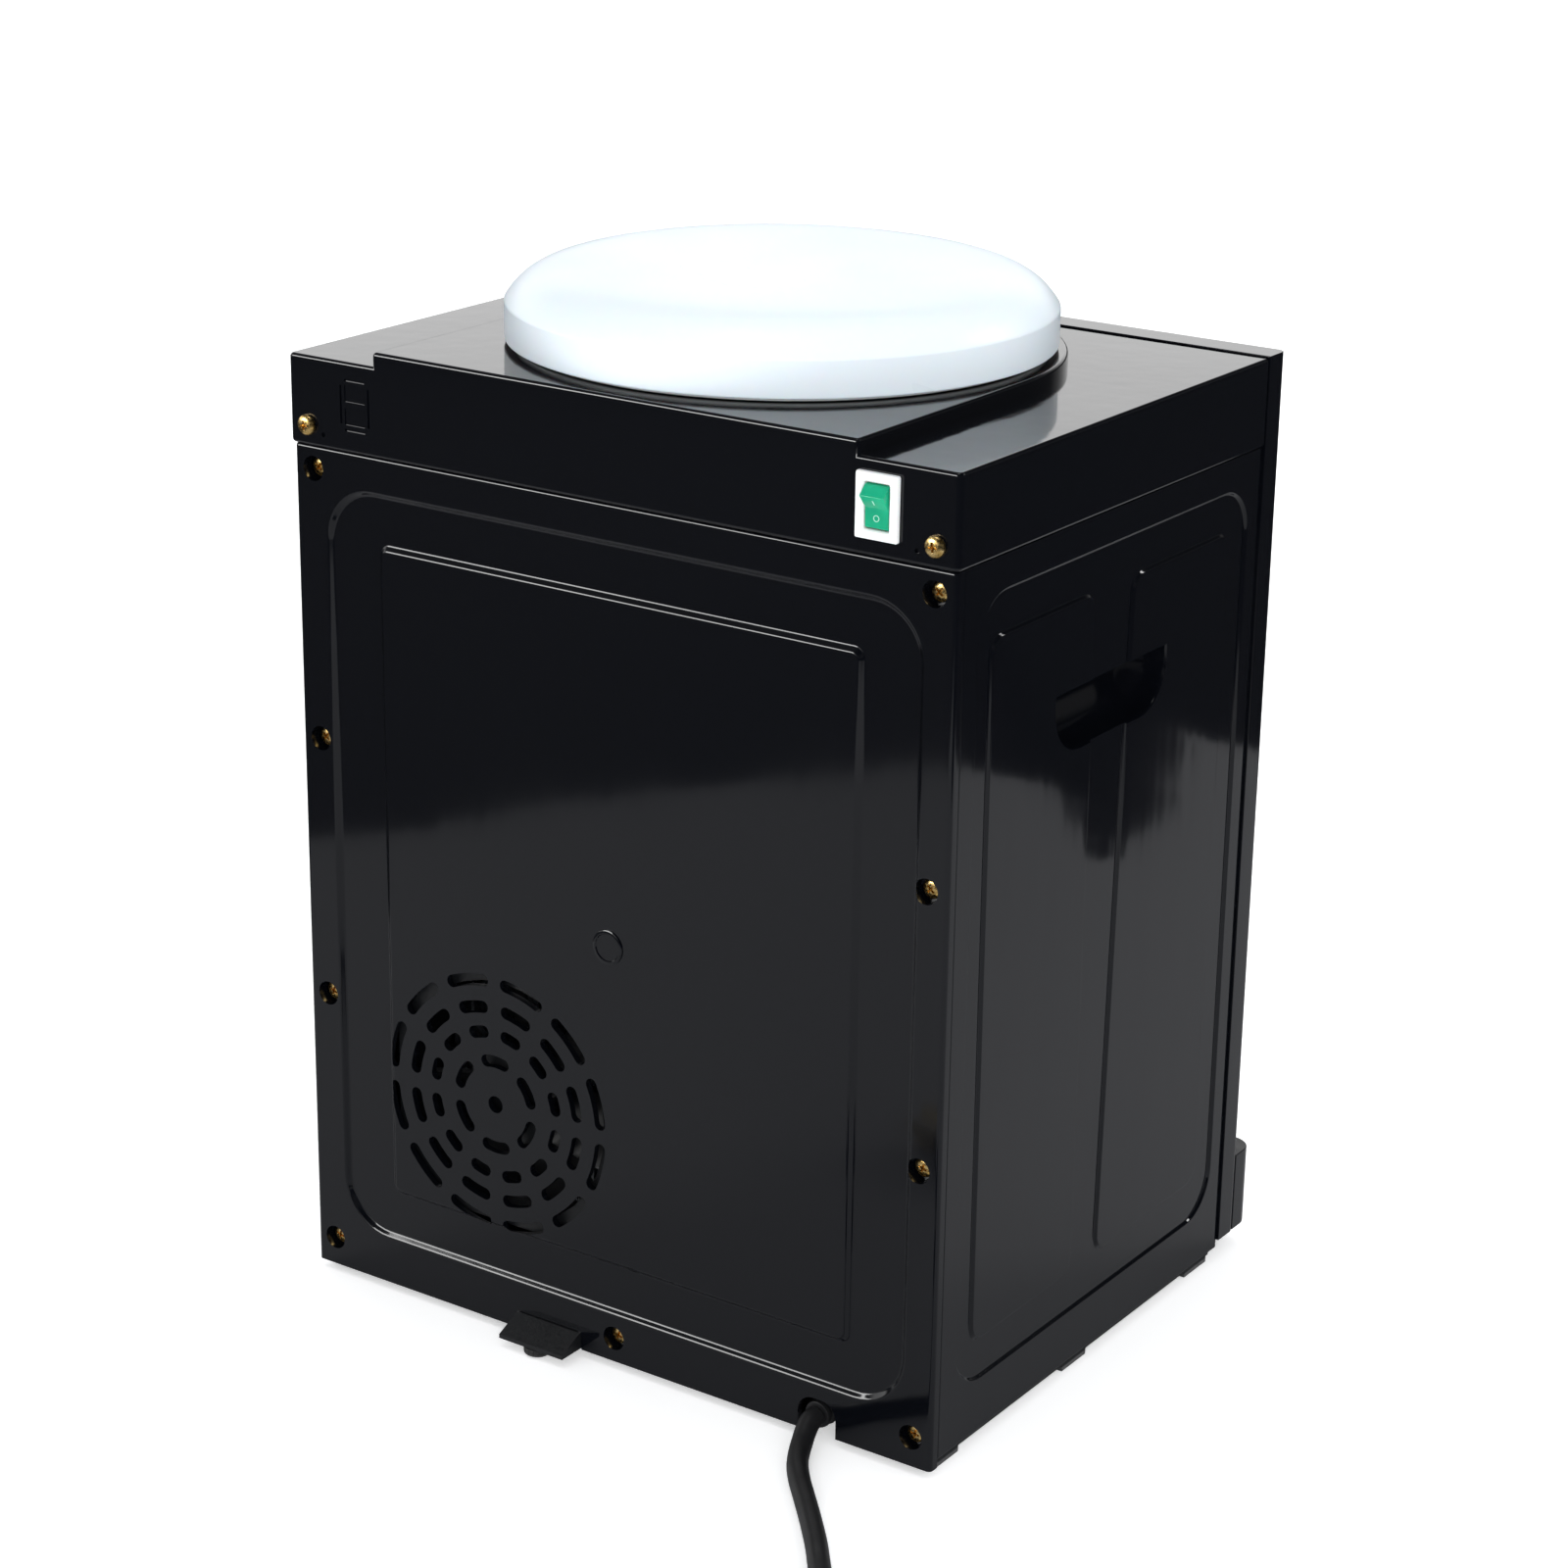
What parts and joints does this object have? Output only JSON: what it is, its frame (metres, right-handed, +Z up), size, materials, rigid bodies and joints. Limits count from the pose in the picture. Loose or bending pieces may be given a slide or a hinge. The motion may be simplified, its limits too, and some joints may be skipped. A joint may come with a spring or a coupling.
{
  "type": "countertop water dispenser",
  "caption": "Countertop bottled-water cooler: gloss black cabinet with bottle seat and dust cover, push taps, drip tray, rear switch, vent and mains lead.",
  "frame": {"origin": "on the surface that the cooler stands on, under the middle of its outline", "axes": "+Z up, -Y to the user, +Y to the rear, +X to the user's right"},
  "size_m": [0.34, 0.4488, 0.3666],
  "materials": {
    "gloss_black": "high-gloss black ABS",
    "matte_black": "fine-textured black moulding",
    "rubber_black": "matte black rubber",
    "cover_white": "smooth cold-white moulding",
    "seat_white": "smooth food-grade white plastic",
    "foam": "expanded polystyrene beads",
    "aluminium": "extruded, satin",
    "ceramic": "alumina ceramic faces",
    "board": "solder-masked circuit board",
    "core_steel": "laminated core and wound coil",
    "tap_blue": "glossy blue",
    "tap_white": "glossy white",
    "silicone": "translucent silicone",
    "bezel_white": "satin white nylon",
    "switch_green": "translucent green rocker",
    "lamp_red": "clear red lens",
    "lamp_green": "clear green lens",
    "cord_black": "satin black PVC",
    "gold_zinc": "yellow-passivated zinc on steel"
  },
  "bodies": {
    "cabinet": {"rear_panel": "gloss_black", "left_side_panel": "gloss_black", "right_side_panel": "gloss_black", "front_panel": "gloss_black", "top_cover": "gloss_black", "base_plate": "matte_black", "inlet_cup": "seat_white", "cold_tank": "seat_white", "tank_lid": "seat_white", "tank_insulation": "foam", "cold_block": "aluminium", "peltier_module": "ceramic", "heat_sink": "aluminium", "fan_frame": "matte_black", "power_board": "board", "transformer": "core_steel", "cold_tap_body": "matte_black", "cold_tap_nut": "seat_white", "room_tap_body": "matte_black", "room_tap_nut": "seat_white", "cold_feed_hose": "silicone", "cold_tap_hose": "silicone", "room_tap_hose": "silicone", "drain_hose": "silicone", "drain_pipe": "matte_black", "switch_housing": "bezel_white", "power_lamp": "lamp_red", "cooling_lamp": "lamp_green", "strain_relief": "cord_black", "cord_tube": "cord_black", "cord_coil": "cord_black", "cord_tail": "cord_black", "plug": "cord_black", "rear_screw_1": "gold_zinc", "rear_screw_2": "gold_zinc", "rear_screw_3": "gold_zinc", "rear_screw_4": "gold_zinc", "rear_screw_5": "gold_zinc", "rear_screw_6": "gold_zinc", "rear_screw_7": "gold_zinc", "rear_screw_8": "gold_zinc", "rear_screw_9": "gold_zinc", "cover_screw_1": "gold_zinc", "cover_screw_2": "gold_zinc"},
    "dust_cover": {"dust_cover": "cover_white"},
    "bottle_seat": {"bottle_seat": "seat_white", "neck_socket": "seat_white", "bottle_probe": "seat_white"},
    "fan_rotor": {"fan_rotor": "matte_black"},
    "switch_rocker": {"switch_rocker": "switch_green"},
    "cold_tap_lever": {"cold_tap_lever": "tap_blue"},
    "room_tap_lever": {"room_tap_lever": "tap_white"},
    "drip_tray": {"drip_tray": "gloss_black"},
    "drip_grate": {"drip_grate": "matte_black"},
    "drain_knob": {"drain_knob": "rubber_black"}
  },
  "joints": [
    {"name": "seat_lift", "type": "slide", "parent": "cabinet", "child": "bottle_seat", "axis": [0, 0, 1], "range_m": [0, 0.12]},
    {"name": "dust_cover_lift", "type": "slide", "parent": "bottle_seat", "child": "dust_cover", "axis": [0, 0, 1], "range_m": [0, 0.1]},
    {"name": "fan_spin", "type": "hinge", "parent": "cabinet", "child": "fan_rotor", "pos_m": [0.048, 0.088, 0.0853], "axis": [0, 1, 0], "continuous": true},
    {"name": "switch_rock", "type": "hinge", "parent": "cabinet", "child": "switch_rocker", "pos_m": [-0.1028, 0.1045, 0.3213], "axis": [1, 0, 0], "range_deg": [0, 19]},
    {"name": "cold_tap_press", "type": "hinge", "parent": "cabinet", "child": "cold_tap_lever", "pos_m": [0.038, -0.07, 0.215], "axis": [1, 0, 0], "range_deg": [0, 18], "stiffness_Nm_per_rad": 0.2, "springref_deg": -5.73},
    {"name": "room_tap_press", "type": "hinge", "parent": "cabinet", "child": "room_tap_lever", "pos_m": [-0.038, -0.07, 0.215], "axis": [1, 0, 0], "range_deg": [0, 18], "stiffness_Nm_per_rad": 0.2, "springref_deg": -5.73},
    {"name": "tray_slide", "type": "slide", "parent": "cabinet", "child": "drip_tray", "axis": [0, -1, 0], "range_m": [0, 0.075]},
    {"name": "grate_lift", "type": "slide", "parent": "drip_tray", "child": "drip_grate", "axis": [0, 0, 1], "range_m": [0, 0.06]},
    {"name": "drain_turn", "type": "hinge", "parent": "cabinet", "child": "drain_knob", "pos_m": [0.0255, 0.1102, 0.002], "axis": [0, 0, 1], "range_deg": [0, 90]}
  ]
}
